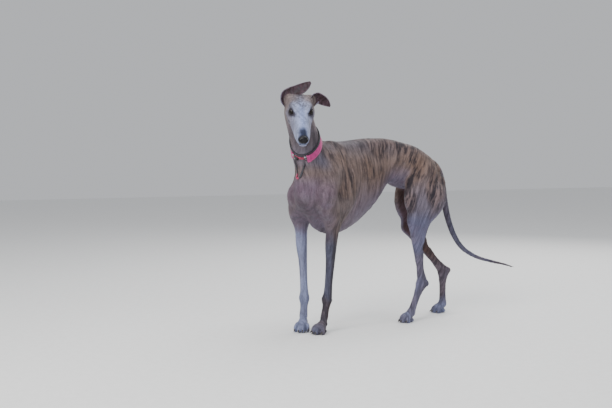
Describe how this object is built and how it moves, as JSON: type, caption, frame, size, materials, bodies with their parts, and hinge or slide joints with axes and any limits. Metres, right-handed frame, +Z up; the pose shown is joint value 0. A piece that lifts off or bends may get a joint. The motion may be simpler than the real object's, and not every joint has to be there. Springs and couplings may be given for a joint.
{
  "type": "greyhound",
  "caption": "Life-size still model of a standing brindle greyhound looking to its left, with a martingale collar.",
  "frame": {"origin": "middle of the model's outline, on the floor that its four feet stand on", "axes": "+Z up; the hindquarters face -Y and the tail points to +Y; +X is the dog's left, to which chest and head are turned"},
  "size_m": [0.4404, 1.0927, 0.898],
  "materials": {
    "buckle": "black",
    "coat_body": "short brindle coat",
    "coat_dark": "short dark brindle coat",
    "coat_head": "short greyed coat",
    "coat_pale": "short pale grey coat",
    "ear": "thin dark brown leather-like ear",
    "eye": "dark brown glass-like",
    "nose": "moist black",
    "piping": "black piping",
    "slide": "bright steel",
    "webbing": "pink webbing",
    "webbing_dark": "dark red webbing"
  },
  "bodies": {
    "root": {"collar_band": "webbing", "collar_buckle": "buckle", "collar_loop": "piping", "collar_slide_left": "slide", "collar_slide_right": "slide", "collar_throat": "webbing_dark", "collar_trim": "piping", "ear_left": "ear", "ear_right": "ear", "eye_left": "eye", "eye_right": "eye", "fore_paw_left": "coat_pale", "fore_paw_right": "coat_pale", "foreleg_left": "coat_dark", "foreleg_right": "coat_pale", "head": "coat_head", "hind_pastern_left": "coat_pale", "hind_pastern_right": "coat_pale", "hind_paw_left": "coat_pale", "hind_paw_right": "coat_pale", "neck": "coat_body", "nose": "nose", "shank_left": "coat_pale", "shank_right": "coat_pale", "tail": "coat_dark", "thigh_left": "coat_body", "thigh_right": "coat_body", "torso": "coat_body"}
  },
  "joints": []
}
